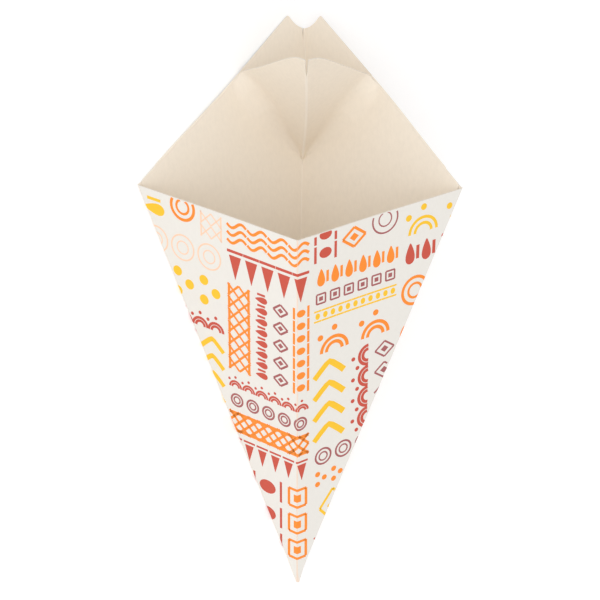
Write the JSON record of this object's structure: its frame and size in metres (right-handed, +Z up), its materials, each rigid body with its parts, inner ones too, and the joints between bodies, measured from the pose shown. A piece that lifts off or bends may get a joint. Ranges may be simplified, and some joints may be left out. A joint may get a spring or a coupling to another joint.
{
  "type": "french fries cone",
  "caption": "Folded card cone for french fries, with a straight front lip, a high back with a thumb notch and a sauce pocket folded into the back.",
  "frame": {"origin": "middle of the footprint, on the surface that the cone lies on", "axes": "+Y along the lying cone from its tip to its high back, +Z up, +X towards the back fold on which the high back and its notch stand"},
  "size_m": [0.095, 0.2128, 0.0673],
  "materials": {
    "card": "printed outside, uncoated beige inside"
  },
  "bodies": {
    "root": {"cone_card": "card"}
  },
  "joints": []
}
